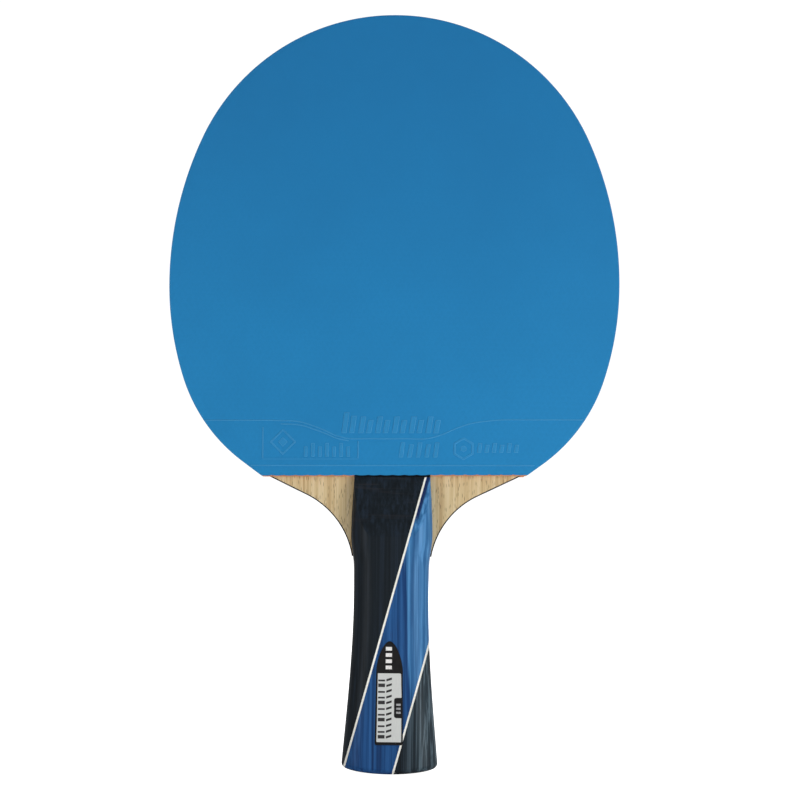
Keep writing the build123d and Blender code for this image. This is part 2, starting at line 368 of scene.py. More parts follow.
tape_black, tree, shader = new_material("black woven tape", Roughness=0.7, Specular_IOR_Level=0.3)
place = add_node(tree, "ShaderNodeTexCoord").outputs["UV"]
threads = {"Vector": place, "Scale": warp_scale, "Distortion": 0.6}
warp = add_node(tree, "ShaderNodeTexWave", threads, bands_direction="X").outputs["Fac"]
threads["Scale"] = weft_scale
weft = add_node(tree, "ShaderNodeTexWave", threads, bands_direction="Y").outputs["Fac"]
weave = calculate(tree, "MULTIPLY", warp, weft)
body = shades(tree, weave, ((0.0, colour(14, 14, 16)), (1.0, colour(40, 41, 45))))
tree.links.new(body, shader.inputs["Base Color"])
add_bump(tree, shader, weave, 0.00005)

neck_end_turn = 180 - degrees(np.arcsin((tape_end_height - neck_height) / neck_radius))
right_edge = [
    *head_side(0),
    arc(shoulder_centre, shoulder_radius, -lower_side_turn, -shoulder_turn),
    straight(shoulder_foot, neck_centre + polar(neck_radius, 180 - shoulder_turn)),
    arc(neck_centre, neck_radius, 180 - shoulder_turn, neck_end_turn),
    [neck_centre + polar(neck_radius, neck_end_turn)],
]
tape_path = both_sides(np.vstack(right_edge))
tape_out = normals(tape_path, closed=False)
hem_start = blade_half - hem_width
tape_section = [
    (0.0, -blade_half),
    (tape_thickness - hem_rise, -blade_half),
    (tape_thickness, -blade_half + hem_slope),
    (tape_thickness, -hem_start),
    (tape_thickness - hem_rise, -hem_start + hem_slope),
    (tape_thickness - hem_rise, hem_start - hem_slope),
    (tape_thickness, hem_start),
    (tape_thickness, blade_half - hem_slope),
    (tape_thickness - hem_rise, blade_half),
    (0.0, blade_half),
]
points = []
for (x, z), (out_x, out_z) in zip(tape_path, tape_out):
    points += [(x + out_x * out, y, z + out_z * out) for out, y in tape_section]
around = len(tape_section)
faces = []
for step in range(len(tape_path) - 1):
    for corner in range(around):
        a = step * around + corner
        b = step * around + (corner + 1) % around
        faces.append((a, b, b + around, a + around))
last = (len(tape_path) - 1) * around
faces.append(tuple(range(around))[::-1])
faces.append(tuple(last + corner for corner in range(around)))
tape = new_piece("edge_tape_woven", points, faces, tape_black, ["edge_tape"])
run = np.concatenate(([0], np.cumsum(np.linalg.norm(np.diff(tape_path, axis=0), axis=1))))
layer = tape.data.uv_layers.new(name="along and across")
for loop in tape.data.loops:
    step, corner = divmod(loop.vertex_index, around)
    layer.data[loop.index].uv = (run[step], tape_section[corner][1])

# ---- the sponges --------------------------------------------------------------------------------
# An orange cellular sponge under each sheet, cut with a knife so that its open cells show all
# round and a hair of it shows below the sheet.

rubber_overhang = 0.75 * MM
rubber_edge_turn = 53.7
sponge_edge_height = 100.71 * MM
skews = {"front": 0.7, "rear": 0.0}  # degrees that each rubber's lower edge climbs to the right
scale_half_top = 12.9 * MM
scale_top = 100.5 * MM
scale_gap = 0.02 * MM
scale_reach = 1.0 * MM
painted_shadow_edge = 0.1 * MM
sponge_foot = 3.0 * MM
sponge_top = 5.1 * MM
sponge_levels = 8
cell_depth = 0.10 * MM
lip_depth = 0.02 * MM


def rubber_outline(edge_height, skew, gap=point_gap):
    """A rubber's outline: the head's arcs, cut straight across below, climbing by skew degrees."""
    radius = shoulder_radius + rubber_overhang
    arc_foot = shoulder_centre + polar(radius, -rubber_edge_turn)
    right = [
        *head_side(rubber_overhang),
        arc(shoulder_centre, radius, -lower_side_turn, -rubber_edge_turn),
        [arc_foot],
    ]
    turn = radians(rubber_edge_turn)
    corners = []
    for way in (1, -1):
        slope = way * tan(radians(skew))
        cut = (arc_foot[1] - edge_height - slope * arc_foot[0]) / (cos(turn) - slope * sin(turn))
        corners.append((arc_foot + polar(cut, -90 - rubber_edge_turn)) * (way, 1))
    round_top = both_sides(np.vstack(right))
    return np.vstack(
        (
            round_top[:-1],
            straight(round_top[-1], corners[0]),
            straight(corners[0], corners[1], gap),
            straight(corners[1], round_top[0]),
        )
    )


def stack_rings(rings):
    """Points and faces of a closed body: (outline, depth) rings, joined in turn and capped."""
    count = len(rings[0][0])
    points = [(x, depth, z) for outline, depth in rings for x, z in outline]
    faces = []
    for level in range(len(rings) - 1):
        for corner in range(count):
            a = level * count + corner
            b = level * count + (corner + 1) % count
            faces.append((a, a + count, b + count, b))
    faces.append(tuple(range(count)))
    faces.append(tuple(range((len(rings) - 1) * count, len(rings) * count))[::-1])
    return points, faces


def facing(points, faces, front):
    """A body drawn for the rear, turned to the front when asked."""
    if front:
        return [(x, -y, z) for x, y, z in points], [face[::-1] for face in faces]
    return points, faces


def axes(tree, place):
    """A place's own X, Y and Z."""
    return add_node(tree, "ShaderNodeSeparateXYZ", {0: place}).outputs


def sponge_material(name, deep, body_shade, light, stained):
    """A cellular rubber sponge in three shades, and the shade of a painted shadow just above the
    scales' top ends.
    """
    material, tree, shader = new_material(name, Roughness=0.85, Specular_IOR_Level=0.2)
    place = position(tree)
    cells = add_node(tree, "ShaderNodeTexVoronoi", {"Vector": place, "Scale": 3200.0})
    hollow = remap(tree, cells.outputs["Distance"], 0.15, 0.55, 1.0, 0.0)
    body = blend(tree, noise(tree, place, 260.0, detail=3.0), body_shade, light)
    body = blend(tree, calculate(tree, "MULTIPLY", hollow, 0.6), body, deep)
    # Painted shadow: just above the scales' top ends, across their width, the sponge is painted
    # near-black (the stained shade).
    flat = axes(tree, place)
    aside = calculate(tree, "ABSOLUTE", flat["X"])
    inner, outer = scale_half_top - painted_shadow_edge, scale_half_top + painted_shadow_edge
    painted_shadow_across = remap(tree, aside, inner, outer, 1.0, 0.0)
    inner, outer = scale_top + scale_reach, scale_top + 2 * scale_reach
    low = remap(tree, flat["Z"], inner, outer, 1.0, 0.0)
    body = blend(tree, calculate(tree, "MULTIPLY", painted_shadow_across, low), body, stained)
    tree.links.new(body, shader.inputs["Base Color"])
    add_bump(tree, shader, cells.outputs["Distance"], 0.00015)
    return material


sponge_orange = sponge_material(
    "orange sponge",
    deep=colour(200, 112, 70),
    body_shade=colour(238, 152, 104),
    light=colour(246, 178, 134),
    # The stained shade is a painted shadow.
    stained=colour(16, 18, 22),
)
rng = np.random.default_rng(5)
levels = np.linspace(sponge_foot, sponge_top, sponge_levels)
for side in ("front", "rear"):
    ring = rubber_outline(sponge_edge_height, skews[side])
    above_scale = (np.abs(ring[:, 0]) < scale_half_top) & (ring[:, 1] < scale_top + scale_reach)
    ring[above_scale, 1] = scale_top + scale_gap
    sponge_out = normals(ring, closed=True)
    rings = []
    for number, depth in enumerate(levels):
        deepest = cell_depth if 0 < number < sponge_levels - 1 else lip_depth
        bite = rng.random(len(ring)) ** 2 * deepest
        bite[above_scale] = 0
        rings.append((ring - sponge_out * bite[:, None], depth))
    points, faces = facing(*stack_rings(rings), side == "front")
    node_name = f"{side}_sponge"
    new_piece(f"{side}_sponge_cells", points, faces, sponge_orange, [node_name])

# ---- the rubbers --------------------------------------------------------------------------------
# A moulded rubber sheet, smooth outside, with rows of short pimples inside that stand on the
# sponge. Raised lines and plain blocks are moulded into its lower part. Blue in front, black
# behind, with a faint print of the pimples in the playing surface.

sheet_edge_height = 101.06 * MM
pimple_foot = 5.1 * MM
sheet_inside = 5.9 * MM
sheet_face = 6.9 * MM
sheet_corner = 0.12 * MM
pimple_band = 4.4 * MM
pimple_pitch = 2.05 * MM
pimple_radius = 0.78 * MM
scallop_pitch = 2 * pimple_pitch
scallop_depth = 0.24 * MM
scallop_gap = 0.34 * MM
line_width = 0.34 * MM
mark_rise = 0.2 * MM
mark_root = 0.1 * MM
mark_round = 0.145 * MM
knot_steps = 10
row_ratio = 3**0.5  # rows set half a pitch aside repeat after this many pitches

# A pimple every pitch, in rows set half a pitch aside, seen through the sheet as faint dots.
print_through, given, result = add_group("pimple print", {"Pitch": pimple_pitch}, ("Dot",))
flat = axes(print_through, position(print_through))
across = calculate(print_through, "DIVIDE", flat["X"], given.outputs["Pitch"])
row_pitch = calculate(print_through, "MULTIPLY", given.outputs["Pitch"], row_ratio)
up = calculate(print_through, "DIVIDE", flat["Z"], row_pitch)
nearest = []
for shift in (0.0, 0.5):
    off_x = calculate(print_through, "FRACT", calculate(print_through, "ADD", across, shift))
    off_z = calculate(print_through, "FRACT", calculate(print_through, "ADD", up, shift))
    off_x = calculate(print_through, "SUBTRACT", off_x, 0.5)
    off_z = calculate(print_through, "SUBTRACT", off_z, 0.5)
    off_z = calculate(print_through, "MULTIPLY", off_z, row_ratio)
    step = add_node(print_through, "ShaderNodeCombineXYZ", {"X": off_x, "Y": off_z}).outputs[0]
    away = add_node(print_through, "ShaderNodeVectorMath", {0: step}, operation="LENGTH")
    nearest.append(away.outputs["Value"])
dot = remap(print_through, calculate(print_through, "MINIMUM", *nearest), 0.25, 0.45, 1.0, 0.0)
print_through.links.new(dot, result.inputs["Dot"])


def rubber_material(name, body_shade, faded, dot_shade, painted_highlight_shade, painted_tip_shade, roughness):
    """A sheet rubber: a body shade, the shade that it fades to in patches, its dots' shade, the
    paler shade of a painted highlight along the raised marks' edges, and the darker shade that it
    leans to at the tip, a painted shade."""
    material, tree, shader = new_material(name, Specular_IOR_Level=0.25)
    place = position(tree)
    cloud = noise(tree, place, 22.0, detail=4.0)
    speck = noise(tree, place, 1400.0, detail=3.0)
    dot = add_node(tree, "ShaderNodeGroup", node_tree=print_through).outputs["Dot"]
    body = blend(tree, remap(tree, cloud, 0.3, 0.7), body_shade, faded)
    flat = axes(tree, place)
    # Painted shade: the sheet darkens towards its tip.
    lean = remap(tree, flat["Z"], sheet_edge_height, blade_top, 0.0, 0.5)
    body = blend(tree, lean, body, painted_tip_shade)
    body = blend(tree, calculate(tree, "MULTIPLY", dot, 0.12), body, dot_shade)
    body = blend(tree, remap(tree, speck, 0.35, 0.75, 0.0, 0.25), body, dot_shade)
    # Painted highlight: the raised marks' sloping edges are painted paler.
    out = calculate(tree, "ABSOLUTE", flat["Y"])
    above = remap(tree, out, sheet_face, sheet_face + 0.06 * MM)
    painted_highlight_below_top = remap(tree, out, sheet_face + mark_rise - 0.02 * MM, sheet_face + mark_rise, 1.0, 0.15)
    edge = calculate(tree, "MULTIPLY", calculate(tree, "MULTIPLY", above, painted_highlight_below_top), 0.5)
    body = blend(tree, edge, body, painted_highlight_shade)
    tree.links.new(body, shader.inputs["Base Color"])
    finish = remap(tree, cloud, 0.3, 0.7, roughness + 0.04, roughness - 0.04)
    tree.links.new(finish, shader.inputs["Roughness"])
    relief = calculate(tree, "MULTIPLY", speck, 0.5)
    relief = calculate(tree, "ADD", relief, calculate(tree, "MULTIPLY", dot, 0.3))
    add_bump(tree, shader, relief, 0.00002)
    return material


rubbers = {
    "front": rubber_material(
        "blue rubber",
        body_shade=colour(22, 128, 186),
        faded=colour(26, 133, 192),
        dot_shade=colour(18, 118, 174),
        # The edge shade is a painted highlight and the tip shade a painted shade.
        painted_highlight_shade=colour(104, 186, 228),
        painted_tip_shade=colour(18, 102, 160),
        roughness=0.55,
    ),
    "rear": rubber_material(
        "black rubber",
        body_shade=colour(24, 24, 26),
        faded=colour(29, 29, 31),
        dot_shade=colour(18, 18, 20),
        # The edge shade is a painted highlight and the tip shade a painted shade.
        painted_highlight_shade=colour(70, 70, 74),
        painted_tip_shade=colour(22, 22, 24),
        roughness=0.5,
    ),
}


def scalloped(outline, skew):
    """The outline with the scallops that the pimple rows leave along its lower edge."""
    x = outline[:, 0]
    above_edge = outline[:, 1] - sheet_edge_height - x * tan(radians(skew))
    on_edge = above_edge < 0.01 * MM
    lobe = np.abs(np.sin(pi * x / scallop_pitch)) ** 0.7
    fade = np.clip((x[on_edge].max() - np.abs(x)) / scallop_pitch, 0, 1)
    cut = outline.copy()
    cut[:, 1] += np.where(on_edge, scallop_depth * (1 - lobe) * fade, 0)
    return cut


def band(path):
    """The outline of an open raised line."""
    path = np.array(path) * MM
    out = normals(path, closed=False) * line_width / 2
    return np.vstack((path + out, (path - out)[::-1]))


def ring_band(path, width):
    """The two outlines of a closed line of the given width."""
    path = np.array(path) * MM
    out = normals(path, closed=True) * width / 2
    return [path + out, (path - out)[::-1]]


def smooth_path(knots):
    """Points on a smooth curve through knots that all run left to right."""
    knots = np.array(knots, dtype=float)
    slope = np.gradient(knots[:, 1], knots[:, 0])
    path = []
    for (x0, z0), (x1, z1), m0, m1 in zip(knots, knots[1:], slope, slope[1:]):
        t = np.linspace(0, 1, knot_steps, endpoint=False)
        wide = x1 - x0
        up = (2 * t**3 - 3 * t**2 + 1) * z0 + (t**3 - 2 * t**2 + t) * wide * m0
        up += (3 * t**2 - 2 * t**3) * z1 + (t**3 - t**2) * wide * m1
        path += list(zip(x0 + t * wide, up))
    return path + [tuple(knots[-1])]


def leaning_bar(x, z, wide, high, lean=0.0):
    """A bar's outline from its lower left corner, its top pushed sideways by lean."""
    corners = ((x, z), (x + lean, z + high), (x + lean + wide, z + high), (x + wide, z))
    return np.array(corners) * MM


def polygon(x, z, radius, sides, turned=0.0):
    """A regular outline round a centre."""
    turns = np.radians(turned) - np.arange(sides) * 2 * pi / sides
    return np.column_stack((x + radius * np.cos(turns), z + radius * np.sin(turns)))


# Raised marks on the sheet's lower part: a line that dips under the middle, a frame, and blocks.
# They are drawn in millimetres, sideways from the middle and up from the butt.
dip_line = smooth_path(
    (
        (-63.7, 119.7), (-52.0, 119.7), (-38.0, 119.6), (-31.5, 119.2), (-26.9, 117.8),
        (-22.4, 116.0), (-19.4, 114.6), (-16.0, 113.7), (-8.0, 113.5), (4.0, 113.5),
        (12.6, 113.7), (17.0, 115.0), (21.5, 117.0), (26.0, 118.5), (34.4, 119.7),
        (48.0, 119.9), (64.3, 119.9),
    )
)
second_line = smooth_path(
    ((-38.0, 118.5), (-31.0, 118.0), (-26.5, 116.6), (-22.0, 114.9), (-19.0, 113.6), (-15.0, 112.8))
)
foot_line = smooth_path(((-48.0, 104.4), (0.0, 104.4), (48.0, 104.4)))
frame_left, frame_right, frame_foot = -44.0, -11.7, 106.6
frame_lines = (
    ((frame_left, 117.4), (frame_left, frame_foot)),
    ((frame_left, frame_foot), (frame_right, frame_foot)),
    ((frame_right, frame_foot), (frame_right, 112.6)),
)
marks = [band(path) for path in (dip_line, second_line, foot_line, *frame_lines)]
# A row of paired leaning bars above the line, the first pair taller.
for pair in range(6):
    left = -17.4 + 5.7 * pair
    high = 7.0 if pair == 0 else 5.6
    marks.append(leaning_bar(left, 115.4, 1.7, high, 0.9))
    marks.append(leaning_bar(left + 2.6, 115.4, 1.7, high - 1.2, 0.8))
# A lozenge with a smaller one inside, then a row of upright bars in the frame.
marks += ring_band(polygon(-37.2, 112.4, 4.1, 4), 0.5 * MM)
marks.append(polygon(-37.2, 112.4, 1.6, 4) * MM)
for bar in range(7):
    marks.append(leaning_bar(-30.0 + 2.4 * bar, 107.4, 1.1, 4.6 if bar % 2 else 3.4))
# Leaning bars, a six-sided ring and a row of short bars on the right.
for bar in range(5):
    marks.append(leaning_bar(2.1 + 2.9 * bar, 107.2, 1.4, 5.0 - 0.7 * (bar % 2), 0.7))
marks += ring_band(polygon(24.0, 110.1, 3.5, 6, 30), 0.6 * MM)
marks.append(polygon(24.0, 110.1, 1.1, 6, 30) * MM)
for bar in range(6):
    marks.append(leaning_bar(28.6 + 2.5 * bar, 108.8, 1.3, 3.2 - 0.6 * (bar % 2), 0.4))


def flat_shape(outlines, foot, top, round_over, steps=2):
    """Points and faces of plates with rounded top and bottom edges, from flat outlines.

    An outline inside another is a hole in it. Foot and top are distances from the mid-plane."""
    curve = bpy.data.curves.new("outlines", "CURVE")
    curve.dimensions = "2D"
    curve.fill_mode = "BOTH"
    curve.extrude = (top - foot) / 2 - round_over
    curve.bevel_depth = round_over
    curve.bevel_resolution = steps
    curve.offset = -round_over
    for outline in outlines:
        spline = curve.splines.new("POLY")
        spline.points.add(len(outline) - 1)
        for point, (x, z) in zip(spline.points, outline):
            point.co = (float(x), float(z), 0.0, 1.0)
        spline.use_cyclic_u = True
    holder = bpy.data.objects.new("outlines", curve)
    mesh = bpy.data.meshes.new_from_object(holder)
    middle = (foot + top) / 2
    points = [(v.co.x, middle + v.co.z, v.co.y) for v in mesh.vertices]
    faces = [tuple(polygon_face.vertices)[::-1] for polygon_face in mesh.polygons]
    bpy.data.objects.remove(holder)
    bpy.data.curves.remove(curve)
    bpy.data.meshes.remove(mesh)
    return points, faces


def join(*bodies):
    """Several bodies' points and faces as one."""
    points, faces = [], []
    for body_points, body_faces in bodies:
        start = len(points)
        points += body_points
        faces += [tuple(index + start for index in face) for face in body_faces]
    return points, faces


def inside_distance(spots, outline):
    """How far each spot lies inside a clockwise outline, and the nearest point on the outline."""
    step = np.roll(outline, -1, 0) - outline
    away = spots[:, None, :] - outline[None, :, :]
    share = np.clip((away * step).sum(2) / (step * step).sum(1), 0, 1)
    foot = outline + share[..., None] * step
    gap = np.linalg.norm(spots[:, None, :] - foot, axis=2)
    index = gap.argmin(1)
    pick = np.arange(len(spots))
    side = step[index]
    turn_way = side[:, 0] * away[pick, index][:, 1] - side[:, 1] * away[pick, index][:, 0]
    return np.where(turn_way < 0, 1, -1) * gap[pick, index], foot[pick, index]


# Only the pimples near the cut edge can be seen; the ones further in are one solid step.
pimple_sides = 12
pimple_shape = (
    (pimple_foot, pimple_radius),
    (sheet_inside - 0.2 * MM, pimple_radius * 1.02),
    (sheet_inside + 0.05 * MM, pimple_radius * 1.25),
)


def edge_pimples(outline):
    """The pimples that stand near an outline's edge, cut off where they cross it."""
    rows = np.arange(outline[:, 1].min(), blade_top, pimple_pitch * row_ratio / 2)
    spots = [
        (column * pimple_pitch + (row % 2) * pimple_pitch / 2, height)
        for row, height in enumerate(rows)
        for column in range(-40, 41)
    ]
    spots = np.array(spots)
    depth_in, _ = inside_distance(spots, outline)
    near = (depth_in > 0.1 * MM) & (depth_in < pimple_band - pimple_radius)
    turns = -np.arange(pimple_sides) * 2 * pi / pimple_sides
    way = np.column_stack((np.cos(turns), np.sin(turns)))
    pimples = []
    for spot in spots[near]:
        rings = []
        for depth, radius in pimple_shape:
            rim = spot + way * radius
            rim_in, edge_spot = inside_distance(rim, outline)
            rings.append((np.where((rim_in < 0.03 * MM)[:, None], edge_spot, rim), depth))
        pimples.append(stack_rings(rings))
    return join(*pimples)


mark_lean = {"front": 0.55, "rear": 0.0}  # degrees that the marks climb to the right
for side in ("front", "rear"):
    plain_ring = rubber_outline(sheet_edge_height, skews[side])
    ring = rubber_outline(sheet_edge_height, skews[side], scallop_gap)
    ring = scalloped(ring, skews[side])
    out = normals(ring, closed=True)
    sheet = stack_rings(
        [
            (ring - out * pimple_band, pimple_foot),
            (ring - out * pimple_band, sheet_inside),
            (ring, sheet_inside),
            (ring, sheet_face - sheet_corner),
            (ring - out * sheet_corner * 0.3, sheet_face - sheet_corner * 0.3),
            (ring - out * sheet_corner, sheet_face),
            (ring - out * 6 * sheet_corner, sheet_face),
        ]
    )
    climb = tan(radians(mark_lean[side]))
    leaning = [mark + np.outer(mark[:, 0], (0, climb)) for mark in marks]
    raised = flat_shape(leaning, sheet_face - mark_root, sheet_face + mark_rise, mark_round)
    points, faces = facing(*join(sheet, raised), side == "front")
    replaced = [f"{side}_topsheet"]
    new_piece(f"{side}_rubber_sheet", points, faces, rubbers[side], replaced)
    points, faces = facing(*edge_pimples(plain_ring), side == "front")
    new_piece(f"{side}_rubber_pimples", points, faces, rubbers[side], replaced)

# ---- the handle scales --------------------------------------------------------------------------
# Dark-stained wood, blue-stained wood and thin white veneers, glued up on a slant, shaped as one
# and rubbed with a satin lacquer. The blue wood is paler and greener towards its right side, and
# a dark line runs up where the two tones meet. The dark wood carries a painted sheen low on its
# right side.

seam_slope = 0.2717
seam_crossing = 59.0 * MM
tone_line_x = 4.4 * MM
tone_line_height = 66.0 * MM
tone_line_slope = 0.045
tone_line_sway = 3.0 * MM
sliver_width = 1.9 * MM
sliver_foot = 84.5 * MM
sliver_full = 88.0 * MM


def lacquered(name, shadow, body_shade, light, seed, add_tones):
    """A stained, lacquered wood. add_tones(tree, figure, body) gives its body colour more tones."""
    material, tree, shader, figure, body = wood(
        name,
        dark=shadow,
        middle=body_shade,
        light=light,
        pore_shade=shadow,
        lines=1500.0,
        length=110.0,
        pores=0.2,
        seed=seed,
        roughness=0.42,
        relief=0.00003,
    )
    shader.inputs["Specular IOR Level"].default_value = 0.12
    shader.inputs["Coat Weight"].default_value = 0.02
    shader.inputs["Coat Roughness"].default_value = 0.3
    body = add_tones(tree, figure, body)
    tree.links.new(body, shader.inputs["Base Color"])
    return material


def as_faced(tree):
    """A spot on a scale: how far right, looking at the scale's own face, and how high it is."""
    flat = axes(tree, position(tree))
    side = calculate(tree, "SIGN", calculate(tree, "MULTIPLY", flat["Y"], -1.0))
    return calculate(tree, "MULTIPLY", flat["X"], side), flat["Z"]


def blue_tones(tree, figure, body):
    """The paler right part of the blue wood, its dark dividing line and the sliver at the top."""
    right, height = as_faced(tree)
    streak = figure.outputs["Streak"]
    waver = calculate(tree, "SUBTRACT", streak, 0.5)
    waver = calculate(tree, "MULTIPLY", waver, tone_line_sway)
    slope = calculate(tree, "SUBTRACT", height, tone_line_height)
    slope = calculate(tree, "MULTIPLY", slope, tone_line_slope)
    x = calculate(tree, "ADD", right, calculate(tree, "ADD", waver, slope))
    pale_shades = (colour(42, 92, 142), colour(62, 119, 171), colour(90, 150, 204))
    pale = shades(tree, streak, tuple(zip((0.36, 0.5, 0.64), pale_shades)))
    pale_start = tone_line_x + 0.1 * MM
    body = blend(tree, remap(tree, x, pale_start, pale_start + 0.8 * MM), body, pale)
    gap = calculate(tree, "ABSOLUTE", calculate(tree, "SUBTRACT", x, tone_line_x))
    line = remap(tree, gap, 0.1 * MM, 0.7 * MM, 0.8, 0.0)
    body = blend(tree, line, body, colour(24, 58, 108))
    seam_x = calculate(tree, "SUBTRACT", height, seam_crossing)
    seam_x = calculate(tree, "MULTIPLY", seam_x, seam_slope)
    from_seam = calculate(tree, "SUBTRACT", right, seam_x)
    sliver = remap(tree, from_seam, sliver_width - 0.7 * MM, sliver_width, 1.0, 0.0)
    high = remap(tree, height, sliver_foot, sliver_full)
    return blend(tree, calculate(tree, "MULTIPLY", sliver, high), body, colour(28, 48, 92))


def dark_tones(tree, figure, body):
    """The dark wood's grain streaks, lightened low on the right as a painted sheen, and its browner
    cross streaks at the top.
    """
    right, height = as_faced(tree)
    # Painted sheen: low on the right, the grain streaks are lightened towards pale shades.
    low = remap(tree, height, 30.0 * MM, 52.0 * MM, 1.0, 0.0)
    painted_sheen_side = remap(tree, right, 3.0 * MM, 12.0 * MM)
    amount = calculate(tree, "MULTIPLY", calculate(tree, "MULTIPLY", low, painted_sheen_side), 0.9)
    pale_shades = (colour(36, 46, 54), colour(52, 65, 73), colour(100, 119, 130))
    pale = shades(tree, figure.outputs["Streak"], tuple(zip((0.34, 0.5, 0.6), pale_shades)))
    body = blend(tree, amount, body, pale)
    bands = noise(tree, scaled(tree, position(tree), (60.0, 60.0, 1100.0)), 1.0, detail=3.0)
    high = remap(tree, height, 82.0 * MM, 92.0 * MM, 0.0, 0.7)
    bands = calculate(tree, "MULTIPLY", remap(tree, bands, 0.5, 0.68), high)
    return blend(tree, bands, body, colour(44, 44, 48))


blue_wood = lacquered(
    "blue-stained wood",
    shadow=colour(22, 52, 96),
    body_shade=colour(34, 80, 134),
    light=colour(48, 98, 156),
    seed=31.0,
    add_tones=blue_tones,
)
dark_wood = lacquered(
    "dark-stained wood",
    shadow=colour(18, 24, 29),
    body_shade=colour(26, 34, 41),
    light=colour(35, 45, 57),
    seed=47.0,
    add_tones=dark_tones,
)
white_veneer = wood(
    "white veneer",
    dark=colour(232, 230, 218),
    middle=colour(250, 249, 240),
    light=colour(253, 252, 246),
    pore_shade=colour(190, 184, 164),
    lines=1500.0,
    length=60.0,
    pores=0.12,
    seed=61.0,
    roughness=0.45,
    relief=0.00001,
)[0]
for side in ("front", "rear"):
    give(dark_wood, f"{side}_grip_dark_upper", f"{side}_grip_dark_lower")
    give(white_veneer, f"{side}_grip_strip_upper", f"{side}_grip_strip_lower")
    give(blue_wood, f"{side}_grip_blue_centre")

# ---- the badge ----------------------------------------------------------------------------------
# A moulded black badge let into the front scale, with a pointed head, a raised rim and a brushed
# silver foil in its panel. Plain bars are printed where a maker would print its name.

# Its outlines are drawn in millimetres, sideways from the middle and up from the butt.
badge_middle = -0.3
badge_bottom = 10.1
badge_shoulder = 34.4
badge_tip = 45.1
badge_half_bottom = 4.7
badge_half_top = 4.45
badge_upright = 4.8
badge_tip_half = 2.0
badge_corner = 0.6
badge_rim = 0.45
badge_foot_rim = 0.9
tab_width = 2.5
tab_low = 19.3
tab_high = 26.0
foil_inset = 0.08
foil_radii = (0.3, 0.3, 0.3, 0.2, 0.9, 0.9, 0.2, 0.3)
# Its depths are measured from the mid-plane.
badge_back = 11.05 * MM
badge_bed = 11.5 * MM
badge_face = 11.75 * MM
foil_face = 11.69 * MM
foil_print = (foil_face - 0.03 * MM, foil_face + 0.03 * MM)
plastic_print = (badge_face - 0.04 * MM, badge_face + 0.02 * MM)
print_round = 0.008 * MM
corner_points = 5
head_points = 16


def rounded(corners, radii):
    """An outline with its corners rounded, each by its own radius."""
    corners = np.array(corners, dtype=float)
    points = []
    befores, afters = np.roll(corners, 1, 0), np.roll(corners, -1, 0)
    for before, corner, after, radius in zip(befores, corners, afters, radii):
        way_in = (before - corner) / np.linalg.norm(before - corner)
        way_out = (after - corner) / np.linalg.norm(after - corner)
        for t in np.linspace(0, 1, corner_points):
            pull = (1 - t) ** 2 * radius * way_in + t**2 * radius * way_out
            points.append(corner + pull)
    return points


def badge_body():
    """The badge's outline, clockwise from its lower left corner."""
    foot, half_foot, corner = badge_bottom, badge_half_bottom, badge_corner
    t = np.linspace(0, 1, head_points)[:, None]
    knots = ((badge_half_top, badge_shoulder), (badge_half_top, badge_shoulder + badge_upright))
    knots += ((badge_tip_half, badge_tip), (0.0, badge_tip))
    knots = [np.array(knot) for knot in knots]
    head = (1 - t) ** 3 * knots[0] + 3 * (1 - t) ** 2 * t * knots[1]
    head = head + 3 * (1 - t) * t**2 * knots[2] + t**3 * knots[3]
    right = [tuple(point) for point in head[::-1]]
    right += [(half_foot, foot + corner), (half_foot - corner * 0.3, foot + corner * 0.3)]
    right += [(half_foot - corner, foot)]
    left = [(-x, z) for x, z in right[:0:-1]]
    return (np.array(left + right) + (badge_middle, 0)) * MM


def foil_outline(margin):
    """The silver panel's outline, set in by margin, with the notch for the black tab."""
    left = badge_middle - badge_half_bottom + badge_rim + margin
    left_top = badge_middle - badge_half_top + badge_rim + margin
    right = badge_middle + badge_half_bottom - badge_rim - margin
    right_top = badge_middle + badge_half_top - badge_rim - margin
    notch = badge_middle + badge_half_bottom - badge_rim - tab_width - margin
    foot = badge_bottom + badge_foot_rim + margin
    top = badge_shoulder - margin
    corners = (
        (left, foot), (left_top, top), (right_top, top), (right, tab_high + margin),
        (notch, tab_high + margin), (notch, tab_low - margin), (right, tab_low - margin),
        (right, foot),
    )
    return np.array(rounded(corners, foil_radii)) * MM


badge_black, tree, shader = new_material(
    "black badge plastic", Specular_IOR_Level=0.25, Coat_Weight=0.06, Coat_Roughness=0.25
)
mottle = noise(tree, position(tree), 900.0, detail=3.0)
body = blend(tree, mottle, colour(9, 8, 9), colour(20, 18, 19))
tree.links.new(body, shader.inputs["Base Color"])
tree.links.new(remap(tree, mottle, 0.3, 0.7, 0.4, 0.52), shader.inputs["Roughness"])
add_bump(tree, shader, mottle, 0.00001)
plate = flat_shape([badge_body()], badge_back, badge_bed + 0.05 * MM, 0.02 * MM)
rim = flat_shape([badge_body(), foil_outline(0.0)[::-1]], badge_bed, badge_face, 0.07 * MM)
points, faces = facing(*join(plate, rim), True)
new_piece("badge_plate_rimmed", points, faces, badge_black, ["badge_plate"])

brushed_foil, tree, shader = new_material("brushed silver foil", Metallic=0.25)
brush = noise(tree, scaled(tree, position(tree), (9000.0, 1.0, 300.0)), 1.0)
body = blend(tree, brush, colour(206, 208, 205), colour(228, 230, 227))
tree.links.new(body, shader.inputs["Base Color"])
tree.links.new(remap(tree, brush, 0.3, 0.7, 0.5, 0.38), shader.inputs["Roughness"])
add_bump(tree, shader, brush, 0.000005)
foil = flat_shape([foil_outline(foil_inset)], badge_bed - 0.02 * MM, foil_face, 0.01 * MM)
points, faces = facing(*foil, True)
new_piece("badge_foil", points, faces, brushed_foil, ["badge_panel"])


def print_bars(name, bars, depths, ink, replaced):
    """Printed bars as thin raised ink on the badge, from one depth to the other."""
    points, faces = facing(*flat_shape(bars, *depths, print_round, steps=1), True)
    new_piece(name, points, faces, ink, [replaced])


